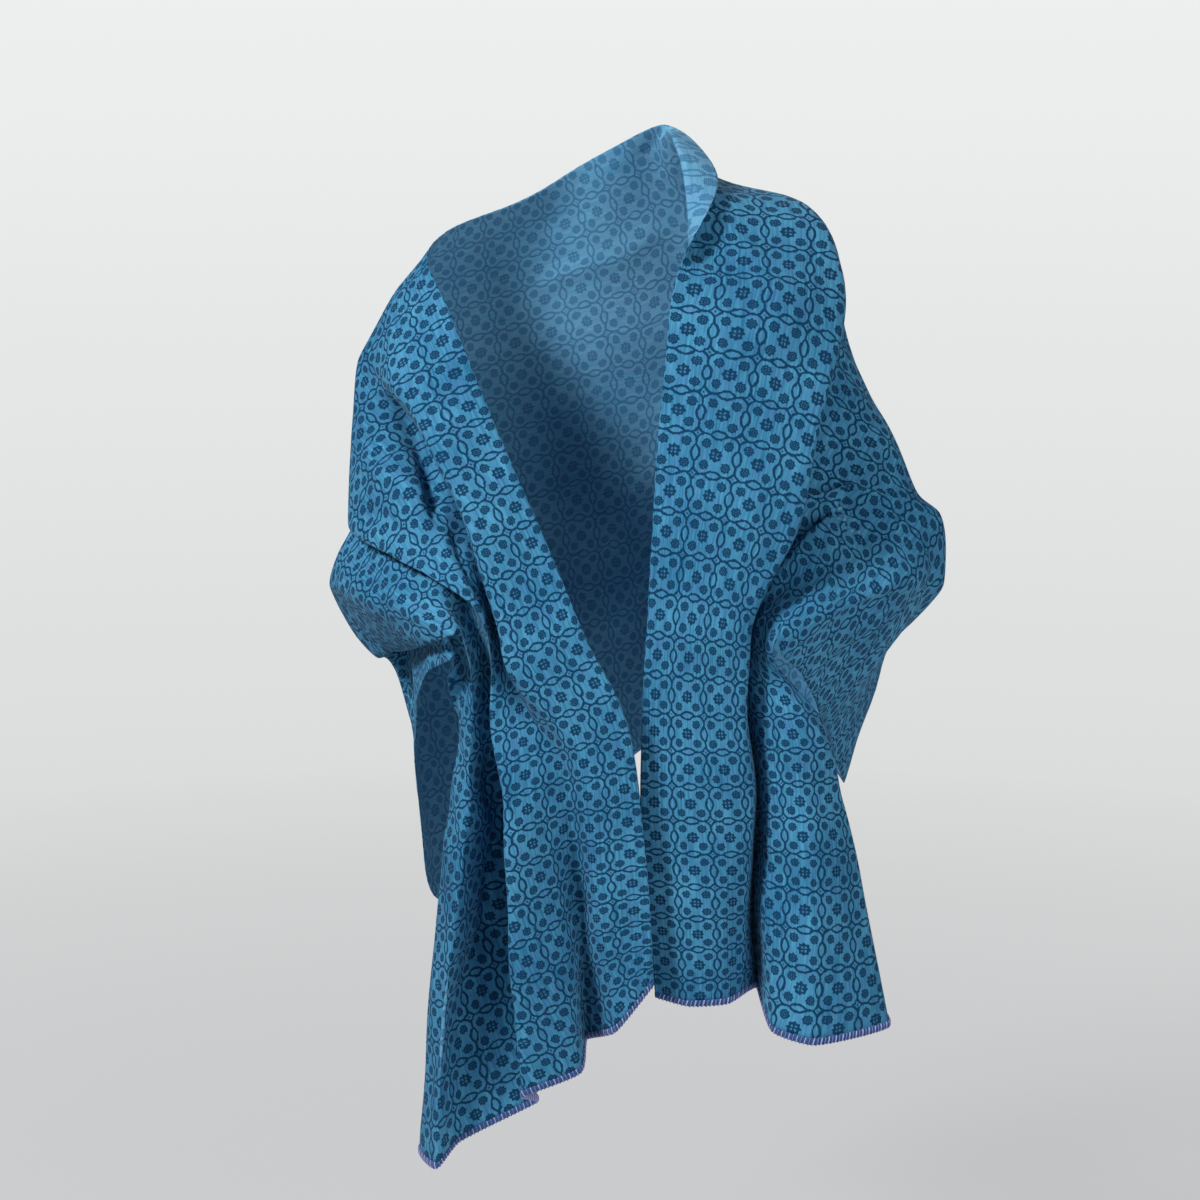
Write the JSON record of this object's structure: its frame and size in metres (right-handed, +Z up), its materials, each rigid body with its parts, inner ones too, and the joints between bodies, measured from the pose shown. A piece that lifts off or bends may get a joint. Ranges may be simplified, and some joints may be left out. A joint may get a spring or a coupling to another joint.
{
  "type": "woven shawl",
  "caption": "Long rectangular woven shawl in its worn drape, round the neck and over both forearms, with loose ends hanging in front and overcast short edges.",
  "frame": {"origin": "the inner face of the cloth at the back of the neck, where the wearer holds it up", "axes": "+Z up, +X to the wearer's left, -Y the way the wearer faces"},
  "size_m": [0.6941, 0.3729, 1.1127],
  "materials": {
    "cloth": "figured handwoven cotton, light blue ground with a dark blue lattice and small flowers, matt with a faint sheen on the floats",
    "edging": "lilac and white cotton overcast stitches over a rolled edge, matt"
  },
  "bodies": {
    "root": {"right_end": "cloth", "right_arm": "cloth", "back": "cloth", "left_arm": "cloth", "left_end": "cloth", "right_end_edging": "edging", "left_end_edging": "edging"}
  },
  "joints": []
}
